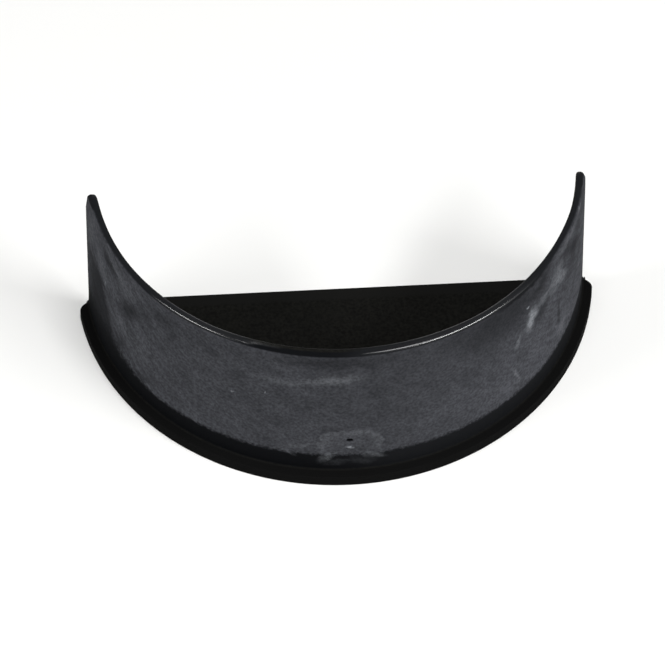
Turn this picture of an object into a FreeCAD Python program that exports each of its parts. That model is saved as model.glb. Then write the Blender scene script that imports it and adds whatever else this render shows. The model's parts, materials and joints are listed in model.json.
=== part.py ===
import FreeCAD
import Part
import Sketcher

import math
import os

# Half-round gutter end cap, one black injection moulding.
# It lies on its end plate: the plate's outer face is z = 0 and the spigot points up.
# The gutter's axis is the Z axis, the arc faces -Y and the straight top edge faces +Y.

doc = FreeCAD.newDocument("gutter_end_cap")
sheet = doc.addObject("Spreadsheet::Sheet", "sizes")

# Sizes in millimetres, angles in degrees
SIZES = [
    # Outer radius of the spigot where it meets the flange
    ("spigot_radius", 54.0),
    # How far the flange stands out past the spigot, to stop the gutter's end
    ("flange_width", 2.2),
    # How far the straight edge lies short of the gutter's axis
    ("edge_drop", 5.0),
    # Thickness of the end plate and its flange
    ("plate_thickness", 2.8),
    # Height of the whole cap, from the outer face to the spigot's rim
    ("cap_height", 41.5),
    # Mould draft of the spigot's outside and inside
    ("outer_draft", 0.6),
    ("inner_draft", 0.5),
    # Wall of the spigot at its rim, on the two arms
    ("rim_wall", 1.7),
    # Extra wall at the invert, the lowest line of the gutter, where the melt came in
    ("invert_extra", 0.45),
    # Angle from the invert to where the extra wall runs out, on either side
    ("invert_angle", 32.0),
    # Radius that blends the thick invert into the two arms
    ("invert_blend", 20.0),
    # Round in plan at the two ends of the flange
    ("corner_radius", 1.8),
    # Round on the top corner of each arm's end
    ("tip_radius", 4.0),
    # Concave fillets at the foot of the spigot, outside and inside
    ("foot_fillet", 0.5),
    ("floor_fillet", 0.8),
    # Small rounds on the rim and the edges that run on from it, and around the outer face
    ("rim_round", 0.45),
    ("face_round", 0.35),
    # Pit where the gate broke off, on the outside of the invert
    ("gate_diameter", 1.4),
    ("gate_depth", 0.4),
    ("gate_height", 11.5),
]
for row, (alias, value) in enumerate(SIZES, start=1):
    sheet.set("A%d" % row, alias)
    sheet.set("B%d" % row, str(value))
    sheet.setAlias("B%d" % row, alias)
doc.recompute()

# Values that follow from the sizes
FLANGE_RADIUS = "(sizes.spigot_radius + sizes.flange_width)"
SPIGOT_HEIGHT = "(sizes.cap_height - sizes.plate_thickness)"
RIM_RADIUS = "(sizes.spigot_radius - %s * tan(sizes.outer_draft * 1 deg))" % SPIGOT_HEIGHT
BORE_RADIUS = "(%s - sizes.rim_wall)" % RIM_RADIUS
# The inside of the invert is a flatter arc: half its chord, its rise, its radius and its centre
HALF_CHORD = "(%s * sin(sizes.invert_angle * 1 deg))" % BORE_RADIUS
RISE = "(%s * (1 - cos(sizes.invert_angle * 1 deg)) - sizes.invert_extra)" % BORE_RADIUS
INVERT_RADIUS = "((%s ^ 2 + %s ^ 2) / (2 * %s))" % (HALF_CHORD, RISE, RISE)
INVERT_CENTRE = "(%s - %s + sizes.invert_extra)" % (INVERT_RADIUS, BORE_RADIUS)
# Distance of the gate pit's floor from the axis
GATE_RISE = "(sizes.gate_height - sizes.plate_thickness)"
GATE_FLOOR = "(sizes.spigot_radius - %s * tan(sizes.outer_draft * 1 deg) - sizes.gate_depth)" % GATE_RISE

CLOSE = 1e-3
ORIGIN = (-1, 1)
X_AXIS, Y_AXIS = -1, -2
START, END, CENTRE = range(1, 4)

body = doc.addObject("PartDesign::Body", "end_cap")
body.Label = "end_cap"
volumes = [0.0]


def size(alias):
    return float(sheet.get(alias))


def number(expression):
    return float(sheet.evalExpression(expression))


def new_sketch(name, role):
    plane = [item for item in body.Origin.OriginFeatures if item.Role == role][0]
    sketch = body.newObject("Sketcher::SketchObject", name)
    sketch.AttachmentSupport = [(plane, "")]
    sketch.MapMode = "FlatFace"
    return sketch


def add(sketch, kind, *places):
    return sketch.addConstraint(Sketcher.Constraint(kind, *places))


def bind(sketch, kind, places, expression):
    index = add(sketch, kind, *places, number(expression))
    sketch.setExpression("Constraints[%d]" % index, expression)


def line(sketch, start, end):
    return sketch.addGeometry(Part.LineSegment(FreeCAD.Vector(*start, 0), FreeCAD.Vector(*end, 0)))


def arc(sketch, centre, radius, first, last):
    circle = Part.Circle(FreeCAD.Vector(*centre, 0), FreeCAD.Vector(0, 0, 1), radius)
    return sketch.addGeometry(Part.ArcOfCircle(circle, first, last))


def polygon(sketch, points):
    sides = [line(sketch, a, b) for a, b in zip(points, points[1:] + points[:1])]
    for first, second in zip(sides, sides[1:] + sides[:1]):
        add(sketch, "Coincident", first, END, second, START)
    return sides


def new_feature(kind, name, sketch):
    feature = body.newObject("PartDesign::" + kind, name)
    feature.Profile = sketch
    return feature


def check(feature, grows):
    """Stop unless the feature built one sound solid and changed the volume the right way."""
    doc.recompute()
    failed = [item.Name for item in doc.Objects if {"Invalid", "Error"} & set(item.State)]
    shape = feature.Shape
    if failed or shape.isNull() or not shape.isValid() or len(shape.Solids) != 1:
        raise RuntimeError("%s did not build: %s" % (feature.Name, failed))
    if (shape.Volume > volumes[-1]) != grows:
        raise RuntimeError("%s moved the volume the wrong way" % feature.Name)
    volumes.append(shape.Volume)
    print("%s: %.1f mm3" % (feature.Name, shape.Volume))


def fillet(name, base, radius, chosen, grows):
    edges = ["Edge%d" % index for index, edge in enumerate(base.Shape.Edges, start=1) if chosen(edge)]
    feature = body.newObject("PartDesign::Fillet", name)
    feature.Base = (base, edges)
    feature.setExpression("Radius", radius)
    check(feature, grows)
    return feature


def middle(edge):
    return edge.valueAt((edge.FirstParameter + edge.LastParameter) / 2)


def reach(edge):
    """Distance of the edge's middle from the gutter's axis."""
    point = middle(edge)
    return math.hypot(point.x, point.y)


def is_level(edge, z):
    return all(abs(vertex.Z - z) < CLOSE for vertex in edge.Vertexes)


def is_across(edge):
    """A straight edge along X, such as the seam where a round runs out."""
    return edge.Curve.TypeId == "Part::GeomLine" and abs(edge.Curve.Direction.x) > 1 - CLOSE


flange = number(FLANGE_RADIUS)
drop = size("edge_drop")
thick = size("plate_thickness")
height = size("cap_height")
foot = size("spigot_radius")
tip = size("tip_radius")

# End plate: less than half a disc, closed by the straight top edge
outline = new_sketch("plate_outline", "XY_Plane")
tilt = math.asin(drop / flange)
half_width = flange * math.cos(tilt)
edge_arc = arc(outline, (0, 0), flange, math.pi + tilt, 2 * math.pi - tilt)
edge_line = line(outline, (half_width, -drop), (-half_width, -drop))
add(outline, "Coincident", edge_arc, CENTRE, *ORIGIN)
add(outline, "Coincident", edge_arc, END, edge_line, START)
add(outline, "Coincident", edge_arc, START, edge_line, END)
add(outline, "Horizontal", edge_line)
bind(outline, "Radius", (edge_arc,), FLANGE_RADIUS)
bind(outline, "DistanceY", (edge_line, START, *ORIGIN), "sizes.edge_drop")
plate = new_feature("Pad", "plate", outline)
plate.setExpression("Length", "sizes.plate_thickness")
check(plate, grows=True)


def is_upright(edge):
    return abs(middle(edge).z - thick / 2) < CLOSE


corners = fillet("flange_corners", plate, "sizes.corner_radius", is_upright, grows=False)

# Spigot: half a drafted round block, turned about the gutter's axis
section = new_sketch("spigot_section", "XZ_Plane")
rim = number(RIM_RADIUS)
sides = polygon(section, [(0, 0), (foot, 0), (foot, thick), (rim, height), (0, height)])
add(section, "Coincident", sides[0], START, *ORIGIN)
add(section, "Horizontal", sides[0])
add(section, "Vertical", sides[1])
add(section, "Horizontal", sides[3])
add(section, "Vertical", sides[4])
bind(section, "DistanceX", (*ORIGIN, sides[0], END), "sizes.spigot_radius")
bind(section, "DistanceX", (*ORIGIN, sides[2], END), RIM_RADIUS)
bind(section, "DistanceY", (*ORIGIN, sides[1], END), "sizes.plate_thickness")
bind(section, "DistanceY", (*ORIGIN, sides[2], END), "sizes.cap_height")
spigot = new_feature("Revolution", "spigot", section)
spigot.ReferenceAxis = (section, ["V_Axis"])
spigot.Angle = 180
spigot.Reversed = True
check(spigot, grows=True)

# The spigot stops flush with the straight edge
end_line = new_sketch("end_line", "XY_Plane")
sides = polygon(end_line, [(-flange, -drop), (flange, -drop), (flange, flange), (-flange, flange)])
add(end_line, "Vertical", sides[1])
add(end_line, "Horizontal", sides[2])
add(end_line, "Vertical", sides[3])
add(end_line, "Symmetric", sides[0], START, sides[0], END, Y_AXIS)
bind(end_line, "DistanceX", (*ORIGIN, sides[1], START), FLANGE_RADIUS)
bind(end_line, "DistanceY", (*ORIGIN, sides[2], START), FLANGE_RADIUS)
bind(end_line, "DistanceY", (sides[0], START, *ORIGIN), "sizes.edge_drop")
end_trim = new_feature("Pocket", "end_trim", end_line)
end_trim.Type = "ThroughAll"
end_trim.Reversed = True
check(end_trim, grows=False)

# Core of the mould at the rim: two arms, and a flatter arc at the invert blended into both
core = new_sketch("core_outline", "XY_Plane")
core.setExpression("AttachmentOffset.Base.z", "sizes.cap_height")
bore = number(BORE_RADIUS)
flat = number(INVERT_RADIUS)
flat_y = number(INVERT_CENTRE)
blend = size("invert_blend")
blend_y = ((bore - blend) ** 2 - (flat - blend) ** 2 + flat_y ** 2) / (2 * flat_y)
blend_x = math.sqrt((bore - blend) ** 2 - blend_y ** 2)
arm_turn = math.atan2(-blend_y, blend_x)
flat_turn = math.atan2(flat_y - blend_y, blend_x)
left_arm = arc(core, (0, 0), bore, math.pi, math.pi + arm_turn)
left_blend = arc(core, (-blend_x, blend_y), blend, math.pi + arm_turn, math.pi + flat_turn)
invert = arc(core, (0, flat_y), flat, math.pi + flat_turn, 2 * math.pi - flat_turn)
right_blend = arc(core, (blend_x, blend_y), blend, 2 * math.pi - flat_turn, 2 * math.pi - arm_turn)
right_arm = arc(core, (0, 0), bore, 2 * math.pi - arm_turn, 2 * math.pi)
mouth = line(core, (bore, 0), (-bore, 0))
chain = [left_arm, left_blend, invert, right_blend, right_arm]
for first, second in zip(chain, chain[1:]):
    add(core, "Tangent", first, END, second, START)
add(core, "Coincident", right_arm, END, mouth, START)
add(core, "Coincident", left_arm, START, mouth, END)
add(core, "Coincident", left_arm, CENTRE, *ORIGIN)
add(core, "Coincident", right_arm, CENTRE, *ORIGIN)
add(core, "PointOnObject", invert, CENTRE, Y_AXIS)
add(core, "PointOnObject", mouth, START, X_AXIS)
add(core, "PointOnObject", mouth, END, X_AXIS)
add(core, "Equal", left_arm, right_arm)
add(core, "Equal", left_blend, right_blend)
bind(core, "Radius", (left_arm,), BORE_RADIUS)
bind(core, "Radius", (left_blend,), "sizes.invert_blend")
bind(core, "Radius", (invert,), INVERT_RADIUS)
bind(core, "DistanceY", (*ORIGIN, invert, CENTRE), INVERT_CENTRE)
hollow = new_feature("Pocket", "hollow", core)
hollow.setExpression("Length", SPIGOT_HEIGHT)
check(hollow, grows=False)


def face_names(chosen):
    return ["Face%d" % index for index, face in enumerate(hollow.Shape.Faces, start=1) if chosen(face)]


def is_core_wall(face):
    return face.Surface.TypeId == "Part::GeomCylinder" and abs(face.BoundBox.ZMax - height) < CLOSE


def is_rim_top(face):
    return face.Surface.TypeId == "Part::GeomPlane" and abs(face.BoundBox.ZMin - height) < CLOSE


# The core tapers towards the floor, so that it draws out of the moulding
core_draft = body.newObject("PartDesign::Draft", "core_draft")
core_draft.Base = (hollow, face_names(is_core_wall))
core_draft.NeutralPlane = (hollow, face_names(is_rim_top))
core_draft.setExpression("Angle", "sizes.inner_draft")
core_draft.Reversed = True
check(core_draft, grows=True)

# Round ends of the arms: what lies outside a quarter circle is cut away across both
tip_corner = new_sketch("tip_corner", "YZ_Plane")
bend = arc(tip_corner, (-drop - tip, height - tip), tip, 0, math.pi / 2)
upright = line(tip_corner, (-drop, height - tip), (-drop, height))
level = line(tip_corner, (-drop, height), (-drop - tip, height))
add(tip_corner, "Coincident", upright, END, level, START)
add(tip_corner, "Vertical", upright)
add(tip_corner, "Horizontal", level)
add(tip_corner, "Tangent", bend, START, upright, START)
add(tip_corner, "Tangent", bend, END, level, END)
bind(tip_corner, "Radius", (bend,), "sizes.tip_radius")
bind(tip_corner, "DistanceX", (upright, START, *ORIGIN), "sizes.edge_drop")
bind(tip_corner, "DistanceY", (*ORIGIN, upright, END), "sizes.cap_height")
tips = new_feature("Pocket", "tips", tip_corner)
tips.Type = "ThroughAll"
tips.SideType = "Symmetric"
check(tips, grows=False)


def is_foot(edge):
    return is_level(edge, thick) and abs(reach(edge) - foot) < CLOSE


def is_floor(edge):
    return is_level(edge, thick) and reach(edge) < foot - CLOSE and not is_across(edge)


def is_rim(edge):
    """Rim and round tips, outside and inside; the round runs on along the edges tangent to them."""
    on_top = is_level(edge, height)
    on_tip = middle(edge).y > -drop - tip - CLOSE and middle(edge).z > height - tip
    return (on_top or on_tip) and not is_across(edge)


def is_face_edge(edge):
    return is_level(edge, 0)


foot_round = fillet("foot_round", tips, "sizes.foot_fillet", is_foot, grows=True)
floor_round = fillet("floor_round", foot_round, "sizes.floor_fillet", is_floor, grows=True)
rim_edges = fillet("rim_edges", floor_round, "sizes.rim_round", is_rim, grows=False)
face_edges = fillet("face_edges", rim_edges, "sizes.face_round", is_face_edge, grows=False)

# Gate pit: a shallow round hole on the centre line, cut outwards from its floor
gate = new_sketch("gate_mark", "XZ_Plane")
gate.setExpression("AttachmentOffset.Base.z", GATE_FLOOR)
gate_centre = FreeCAD.Vector(0, size("gate_height"), 0)
mark = gate.addGeometry(Part.Circle(gate_centre, FreeCAD.Vector(0, 0, 1), size("gate_diameter") / 2))
add(gate, "PointOnObject", mark, CENTRE, Y_AXIS)
bind(gate, "Diameter", (mark,), "sizes.gate_diameter")
bind(gate, "DistanceY", (*ORIGIN, mark, CENTRE), "sizes.gate_height")
gate_pit = new_feature("Pocket", "gate_pit", gate)
gate_pit.Type = "ThroughAll"
gate_pit.Reversed = True
check(gate_pit, grows=False)

shape = body.Shape
box = shape.optimalBoundingBox(False)
print("%.2f x %.2f x %.2f mm" % (box.XLength, box.YLength, box.ZLength))
os.makedirs("parts", exist_ok=True)
shape.exportStep("parts/%s.step" % body.Label)
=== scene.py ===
# %% [markdown]
# Gutter end cap
# This cap closes the end of a half-round plastic rain gutter. It is one injection moulding in black PVC:
# an end plate, a small flange round the plate, and a half-round wall, the spigot, that goes into the
# gutter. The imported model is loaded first, and everything below takes its place and its size from it.

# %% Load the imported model
import json
import math

import bmesh
import bpy
from mathutils import Euler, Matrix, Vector


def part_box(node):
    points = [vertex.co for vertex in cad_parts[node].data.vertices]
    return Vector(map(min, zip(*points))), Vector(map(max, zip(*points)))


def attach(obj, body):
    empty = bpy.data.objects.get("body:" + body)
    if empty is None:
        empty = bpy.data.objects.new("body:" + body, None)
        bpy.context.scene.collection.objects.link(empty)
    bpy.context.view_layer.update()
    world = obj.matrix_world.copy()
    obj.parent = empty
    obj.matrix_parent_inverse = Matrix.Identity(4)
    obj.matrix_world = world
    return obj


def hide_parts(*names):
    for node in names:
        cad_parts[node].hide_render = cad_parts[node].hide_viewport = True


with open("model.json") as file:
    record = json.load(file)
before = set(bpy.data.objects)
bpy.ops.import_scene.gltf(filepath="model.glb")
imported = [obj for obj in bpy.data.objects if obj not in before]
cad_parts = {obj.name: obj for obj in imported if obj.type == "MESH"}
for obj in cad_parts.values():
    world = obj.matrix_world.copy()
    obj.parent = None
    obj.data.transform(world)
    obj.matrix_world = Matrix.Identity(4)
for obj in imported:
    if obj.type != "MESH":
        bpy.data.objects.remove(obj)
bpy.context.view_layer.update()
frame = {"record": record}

# %% [markdown]
# Sizes
# Blender works in metres here, and a moulding is drawn in millimetres, so one factor turns one into the
# other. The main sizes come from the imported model: the box gives the flange, the straight edge and the
# height, and the spigot mount gives the wall's radius and length. Typed in again, they could drift.

# %% Read the main sizes
MM = 0.001
low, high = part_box("end_cap")
mounts = {mount["name"]: mount["dims"] for mount in frame["record"]["mounts"]}
FOOT_RADIUS = mounts["spigot"]["r_mm"] * MM
WALL_HEIGHT = mounts["spigot"]["length_mm"] * MM
FLANGE_RADIUS = -low.y
STRAIGHT_EDGE = high.y
CAP_HEIGHT = high.z
PLATE_TOP = CAP_HEIGHT - WALL_HEIGHT
print("plate thickness in mm:", round(PLATE_TOP / MM, 2))
print("flange width in mm:", round((FLANGE_RADIUS - FOOT_RADIUS) / MM, 2))

# %% [markdown]
# Camera
# The picture was taken with a long lens, from in front and well above, and a touch from the left. The
# angles and the framing were found by fitting the cap's own circles and edges to the picture. The camera
# is turned first, and then it backs away along its own view line, so no target object is needed.

# %% Make the camera
VIEW_TILT = math.radians(51.975)
VIEW_TURN = math.radians(3.46)
VIEW_DISTANCE = 1350 * MM
FRAME_RIGHT = -0.404 * MM
FRAME_UP = -11.755 * MM
SENSOR_WIDTH = 36.0
LENS = 334.89
NEAREST = 0.05
FURTHEST = 50.0

camera_data = bpy.data.cameras.new("camera")
camera_data.sensor_width = SENSOR_WIDTH
camera_data.lens = LENS
camera_data.clip_start = NEAREST
camera_data.clip_end = FURTHEST
camera = bpy.data.objects.new("camera", camera_data)
bpy.context.scene.collection.objects.link(camera)
turn = Euler((math.pi / 2 - VIEW_TILT, 0.0, -VIEW_TURN))
right, up, back = turn.to_matrix().transposed()
camera.rotation_euler = turn
camera.location = right * FRAME_RIGHT + up * FRAME_UP + back * VIEW_DISTANCE
bpy.context.scene.camera = camera
bpy.context.scene.view_settings.view_transform = "Standard"
print("camera at", [round(c, 4) for c in camera.location])

# %% [markdown]
# Two helpers for materials
# Colours are written as sRGB hex values, as a picture editor shows them, and shaders want linear light. A
# material is a graph of nodes, and one helper adds a node, sets it up and links it, so that each line
# reads as one step. Its second value is the kind of node, and the kinds and settings used most get short
# names here.

# %% Write the two helpers
MATH = "ShaderNodeMath"
VECTOR = "ShaderNodeVectorMath"
RANGE = "ShaderNodeMapRange"
NOISE = "ShaderNodeTexNoise"
MAPPING = "ShaderNodeMapping"
MIX = "ShaderNodeMix"
TIMES = {"operation": "MULTIPLY"}
TIMES_PLUS = {"operation": "MULTIPLY_ADD"}
PLUS = {"operation": "ADD"}
MINUS = {"operation": "SUBTRACT"}
ABSOLUTE = {"operation": "ABSOLUTE"}
LENGTH = {"operation": "LENGTH"}
SMOOTH = {"interpolation_type": "SMOOTHSTEP"}
COLOURS = {"data_type": "RGBA"}
# The sockets of a Mix node's two colours and of its result
FIRST, SECOND, MIXED = 6, 7, 2


def linear(hex_colour):
    parts = [int(hex_colour[i:i + 2], 16) / 255 for i in (1, 3, 5)]
    light = [p / 12.92 if p <= 0.04045 else ((p + 0.055) / 1.055) ** 2.4 for p in parts]
    return (*light, 1.0)


def add_node(tree, kind, settings, inputs):
    node = tree.nodes.new(kind)
    for name, value in settings.items():
        setattr(node, name, value)
    for key, value in inputs.items():
        if isinstance(value, bpy.types.NodeSocket):
            tree.links.new(value, node.inputs[key])
        else:
            node.inputs[key].default_value = value
    return node


print("mid grey in linear light:", [round(c, 4) for c in linear("#808080")])

# %% [markdown]
# Floor
# The cap lies on a plain white table, and the background is white right up to a faint shadow. A white
# floor under lamps alone would either be grey or need too much light on the cap. So near the cap the
# floor is mostly lit, which keeps the shadow, and a share of it is a white of strength 1 for the camera
# and for reflections. That share grows with the distance, where the lamps no longer reach, so a low view
# stays white to the horizon.

# %% Make the floor
FLOOR_SIZE = 12.0
FLOOR_GAP = 0.05 * MM
FLOOR_WHITE = "#f3f3f1"
FLOOR_GLOW = 0.15
GLOW_FROM = 0.12
GLOW_TO = 0.45

floor_mesh = bmesh.new()
bmesh.ops.create_grid(floor_mesh, x_segments=1, y_segments=1, size=FLOOR_SIZE / 2)
bmesh.ops.translate(floor_mesh, verts=floor_mesh.verts, vec=(0.0, 0.0, -FLOOR_GAP))
floor_data = bpy.data.meshes.new("floor")
floor_mesh.to_mesh(floor_data)
floor_mesh.free()
floor = bpy.data.objects.new("floor", floor_data)
bpy.context.scene.collection.objects.link(floor)

floor_paint = bpy.data.materials.new("matt_white_board")
floor_paint.use_nodes = True
tree = floor_paint.node_tree
tree.nodes.clear()
path = add_node(tree, "ShaderNodeLightPath", {}, {}).outputs
seen = add_node(tree, MATH, {"operation": "MAXIMUM"}, {0: path["Is Camera Ray"], 1: path["Is Glossy Ray"]})
seen = add_node(tree, MATH, {"operation": "MAXIMUM"}, {0: seen.outputs[0], 1: path["Is Transmission Ray"]})
spot = add_node(tree, "ShaderNodeTexCoord", {}, {})
away = add_node(tree, VECTOR, LENGTH, {0: spot.outputs["Object"]})
glowing = add_node(tree, RANGE, SMOOTH, {
    "Value": away.outputs["Value"], "From Min": GLOW_FROM, "From Max": GLOW_TO, "To Min": FLOOR_GLOW,
})
share = add_node(tree, MATH, TIMES, {0: seen.outputs[0], 1: glowing.outputs[0]})
lit = add_node(tree, "ShaderNodeBsdfDiffuse", {}, {"Color": linear(FLOOR_WHITE)})
glow = add_node(tree, "ShaderNodeEmission", {}, {"Color": linear("#ffffff"), "Strength": 1.0})
mixed = add_node(tree, "ShaderNodeMixShader", {},
                 {0: share.outputs[0], 1: lit.outputs[0], 2: glow.outputs[0]})
add_node(tree, "ShaderNodeOutputMaterial", {}, {"Surface": mixed.outputs[0]})
floor_data.materials.append(floor_paint)
print("floor", FLOOR_SIZE, "m wide")

# %% [markdown]
# Light
# A broad soft box above and a little in front lights the cap and the table, and its edge makes the short
# soft shadows at the two sides. Black plastic also shows what it mirrors, so two narrow soft boxes stand
# right and left: they draw the bright lines along the rim, and a weak one in front adds a faint glint
# between them.

# %% Make the lamps
LAMP_DISTANCE = 0.9
# Name, degrees round from +X, degrees up, width and depth in metres, watts
LAMPS = (
    ("lamp_above", 285, 74, 0.36, 0.36, 4.6),
    ("lamp_right", 320, 45, 0.40, 0.11, 3.7),
    ("lamp_left", 203, 42, 0.33, 0.10, 2.1),
    ("lamp_front", 290, 51, 0.20, 0.08, 0.16),
)


def soft_lamp(name, degrees_round, degrees_up, width, depth, watts):
    lamp = bpy.data.lights.new(name, "AREA")
    lamp.shape = "RECTANGLE"
    lamp.size = width
    lamp.size_y = depth
    lamp.energy = watts
    piece = bpy.data.objects.new(name, lamp)
    bpy.context.scene.collection.objects.link(piece)
    a = math.radians(degrees_round)
    e = math.radians(degrees_up)
    towards = Vector((math.cos(a) * math.cos(e), math.sin(a) * math.cos(e), math.sin(e)))
    piece.location = towards * LAMP_DISTANCE
    piece.rotation_euler = towards.to_track_quat("Z", "Y").to_euler()


for row in LAMPS:
    soft_lamp(*row)

# %% [markdown]
# The room
# A studio has a white backdrop all round and a dark ceiling. The world could be one grey, but then the
# plate, which mirrors the room above and behind it, would be grey too. So the world is pale at the
# horizon and dim overhead, and the plate stays black.

# %% Make the room
HORIZON_LIGHT = 0.9
OVERHEAD_LIGHT = 0.06
HORIZON_UP_TO = 0.2
OVERHEAD_FROM = 0.6

world = bpy.data.worlds.new("studio_room")
bpy.context.scene.world = world
world.use_nodes = True
tree = world.node_tree
tree.nodes.clear()
sky = add_node(tree, "ShaderNodeTexCoord", {}, {})
direction = add_node(tree, "ShaderNodeSeparateXYZ", {}, {0: sky.outputs["Generated"]})
height = add_node(tree, RANGE, SMOOTH, {
    "Value": direction.outputs["Z"], "From Min": HORIZON_UP_TO, "From Max": OVERHEAD_FROM,
    "To Min": HORIZON_LIGHT, "To Max": OVERHEAD_LIGHT,
})
room = add_node(tree, "ShaderNodeBackground", {},
                {"Color": linear("#ffffff"), "Strength": height.outputs[0]})
add_node(tree, "ShaderNodeOutputWorld", {}, {"Surface": room.outputs[0]})
print("room light:", HORIZON_LIGHT, "at the horizon,", OVERHEAD_LIGHT, "overhead")

# %% [markdown]
# The moulding's section
# A cut from the axis out to the flange shows every wall of the cap at once: the plate, the wall with its
# draft (the slight taper that lets it leave the mould) and the flange. It could be built from a disc and
# a tube, but a real moulding has no seam there. So one line of corners is drawn, its two inside corners
# are rounded, and later the line is spun round the axis.

# %% Draw the section
OUTER_DRAFT = math.radians(0.6)
INNER_DRAFT = math.radians(0.5)
RIM_WALL = 1.7 * MM
FOOT_FILLET = 0.5 * MM
FLOOR_FILLET = 0.8 * MM
FILLET_STEPS = 5
WALL_CUTS = 12

RIM_RADIUS = FOOT_RADIUS - WALL_HEIGHT * math.tan(OUTER_DRAFT)
BORE_RADIUS = RIM_RADIUS - RIM_WALL
BORE_FOOT = BORE_RADIUS - WALL_HEIGHT * math.tan(INNER_DRAFT)

cap = bmesh.new()
section = [
    (0.0, PLATE_TOP), (BORE_FOOT, PLATE_TOP), (BORE_RADIUS, CAP_HEIGHT), (RIM_RADIUS, CAP_HEIGHT),
    (FOOT_RADIUS, PLATE_TOP), (FLANGE_RADIUS, PLATE_TOP), (FLANGE_RADIUS, 0.0), (0.0, 0.0),
]
corners = [cap.verts.new((r, 0.0, z)) for r, z in section]
for start, end in zip(corners, corners[1:]):
    cap.edges.new((start, end))
for corner, radius in ((corners[1], FLOOR_FILLET), (corners[4], FOOT_FILLET)):
    bmesh.ops.bevel(cap, geom=[corner], offset=radius, offset_type="OFFSET", segments=FILLET_STEPS,
                    profile=0.5, affect="VERTICES", material=-1)
walls = [e for e in cap.edges if abs(e.verts[0].co.z - e.verts[1].co.z) > WALL_HEIGHT / 2]
bmesh.ops.subdivide_edges(cap, edges=walls, cuts=WALL_CUTS)
print("section:", len(cap.verts), "points")

# %% [markdown]
# Spin it half round
# The cap is half of a round shape, so the section turns by half a circle about the gutter's axis. The
# points on the axis land on each other, and merging them closes the pole of the plate, inside and
# outside.

# %% Spin the section
SPIN_STEPS = 110
MERGE = 0.001 * MM
bmesh.ops.spin(cap, geom=cap.verts[:] + cap.edges[:], cent=(0.0, 0.0, 0.0), axis=(0.0, 0.0, 1.0),
               dvec=(0.0, 0.0, 0.0), angle=-math.pi, steps=SPIN_STEPS, use_merge=False, use_duplicate=False)
bmesh.ops.remove_doubles(cap, verts=cap.verts, dist=MERGE)
bmesh.ops.recalc_face_normals(cap, faces=cap.faces)
print("spun:", len(cap.faces), "faces")

# %% [markdown]
# The thicker invert
# The lowest point of a gutter is its invert. There the melt came in, and the wall is thicker: its inside
# follows a flatter arc than its outside. A second arc could be cut out, but the inside already has its
# rings of points, so each point there just moves in to the flatter arc.

# %% Thicken the invert
INVERT_EXTRA = 0.45 * MM
INVERT_ANGLE = math.radians(32)
half_chord = BORE_RADIUS * math.sin(INVERT_ANGLE)
rise = BORE_RADIUS * (1 - math.cos(INVERT_ANGLE)) - INVERT_EXTRA
INVERT_RADIUS = (half_chord ** 2 + rise ** 2) / (2 * rise)
INVERT_CENTRE = INVERT_RADIUS - BORE_RADIUS + INVERT_EXTRA

inside = BORE_RADIUS + RIM_WALL / 3
moved = 0
for vert in cap.verts:
    radius = math.hypot(vert.co.x, vert.co.y)
    if vert.co.z < PLATE_TOP - MERGE or radius > inside or radius < BORE_FOOT / 2:
        continue
    angle = math.atan2(vert.co.x, -vert.co.y)
    across = INVERT_CENTRE * math.sin(angle)
    flatter = math.sqrt(INVERT_RADIUS ** 2 - across ** 2) - INVERT_CENTRE * math.cos(angle)
    if flatter < BORE_RADIUS:
        factor = (radius - BORE_RADIUS + flatter) / radius
        vert.co.x *= factor
        vert.co.y *= factor
        moved += 1
print("invert:", moved, "points moved, wall there in mm:", round((RIM_WALL + INVERT_EXTRA) / MM, 2))

# %% [markdown]
# The straight edge and the rounded ends
# The real cap stops short of a full half circle, on one straight edge, and its ends are rounded: each arm
# of the wall at its top corner and the flange at its two corners. A plane cuts the whole mesh, and the
# open hole is filled again. A row of such cuts, each a few degrees further on, rolls round a corner as a
# file would.

# %% Cut the edge and the corners
TIP_RADIUS = 4.0 * MM
CORNER_RADIUS = 2.6 * MM
CORNER_CUTS = 8
SLIVER = 0.12 * MM


def cut_away(point, normal):
    everything = cap.verts[:] + cap.edges[:] + cap.faces[:]
    bmesh.ops.bisect_plane(cap, geom=everything, dist=MERGE / 10, plane_co=point, plane_no=normal,
                           clear_outer=True, clear_inner=False)
    rim = [e for e in cap.edges if e.is_boundary]
    bmesh.ops.holes_fill(cap, edges=rim, sides=0)


cut_away((0.0, STRAIGHT_EDGE, 0.0), (0.0, 1.0, 0.0))
tip_centre = Vector((0.0, STRAIGHT_EDGE - TIP_RADIUS, CAP_HEIGHT - TIP_RADIUS))
for step in range(1, CORNER_CUTS):
    angle = math.pi / 2 * step / CORNER_CUTS
    normal = Vector((0.0, math.cos(angle), math.sin(angle)))
    cut_away(tip_centre + normal * TIP_RADIUS, normal)

corner_y = STRAIGHT_EDGE - CORNER_RADIUS
corner_x = math.sqrt((FLANGE_RADIUS - CORNER_RADIUS) ** 2 - corner_y ** 2)
first = math.atan2(corner_y, corner_x)
for side in (-1, 1):
    for step in range(1, CORNER_CUTS):
        angle = first + (math.pi / 2 - first) * step / CORNER_CUTS
        normal = Vector((side * math.cos(angle), math.sin(angle), 0.0))
        cut_away(Vector((side * corner_x, corner_y, 0.0)) + normal * CORNER_RADIUS, normal)
bmesh.ops.remove_doubles(cap, verts=cap.verts, dist=SLIVER)
bmesh.ops.recalc_face_normals(cap, faces=cap.faces)
print("cut:", len(cap.faces), "faces, open edges:", sum(e.is_boundary for e in cap.edges))

# %% [markdown]
# Out of true
# A thin moulding warps as it cools and wears in use. Near the top the two arms lean in towards each
# other, and the right one is worn thinner at its tip. The rim is worn down on its outside near the
# invert, and the ends of the flange are trimmed back a little. The points could be moved by a lattice,
# but a weight that grows smoothly with angle and height says the same in a line each.

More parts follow.
